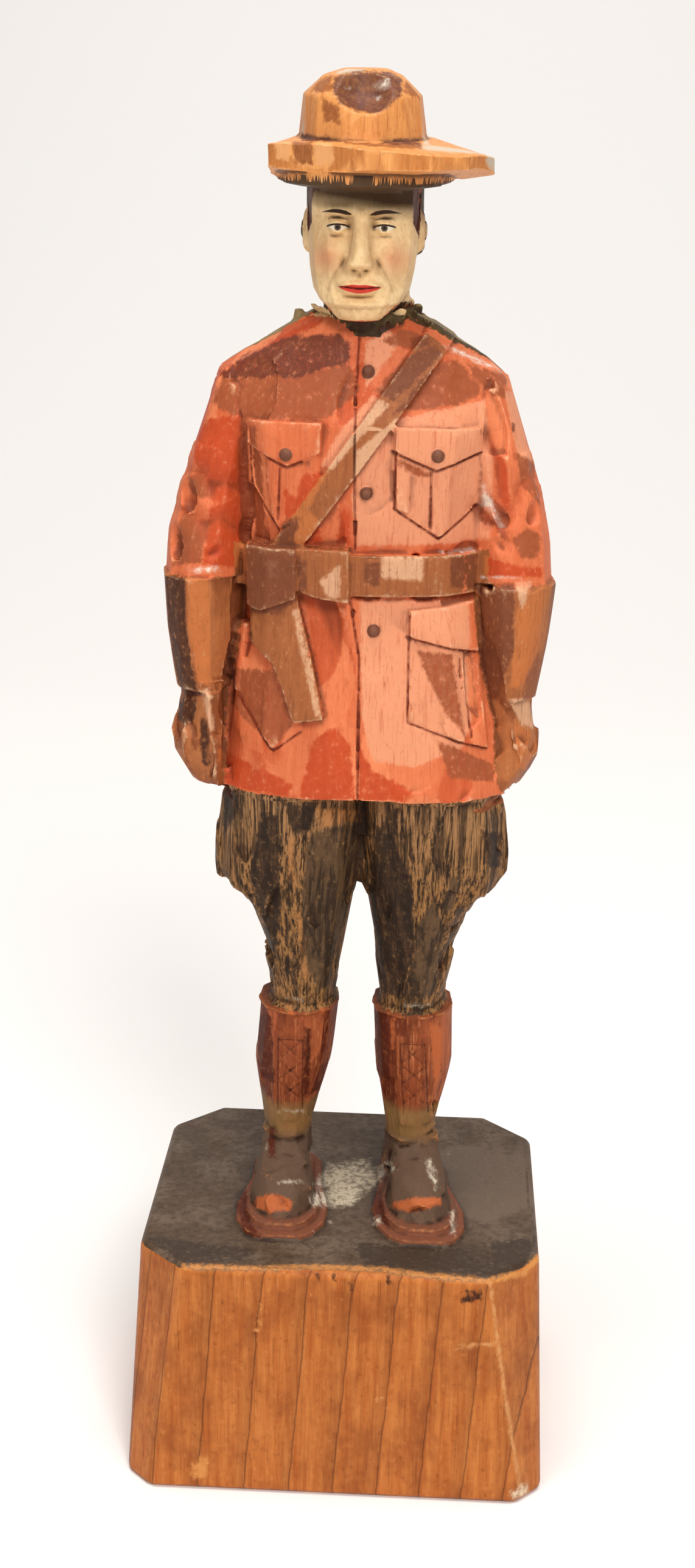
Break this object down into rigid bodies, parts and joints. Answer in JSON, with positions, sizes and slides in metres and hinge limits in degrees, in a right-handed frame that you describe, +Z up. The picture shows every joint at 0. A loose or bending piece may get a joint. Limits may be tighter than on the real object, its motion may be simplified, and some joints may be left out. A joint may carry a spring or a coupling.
{
  "type": "carved wooden figure",
  "caption": "Whittled and painted wooden figure of a standing officer in a wide-brimmed hat, belted tunic and laced boots, on an upright block that it stands by.",
  "frame": {"origin": "centre of the block's underside", "axes": "+Z up along the figure, -Y the way the figure faces, +X to the figure's left"},
  "size_m": [0.0556, 0.0468, 0.1802],
  "materials": {
    "painted_wood": "softwood with knife facets, thin oil paint and stain worn through on the edges, satin varnish on the block"
  },
  "bodies": {
    "root": {"carved_figure": "painted_wood"}
  },
  "joints": []
}
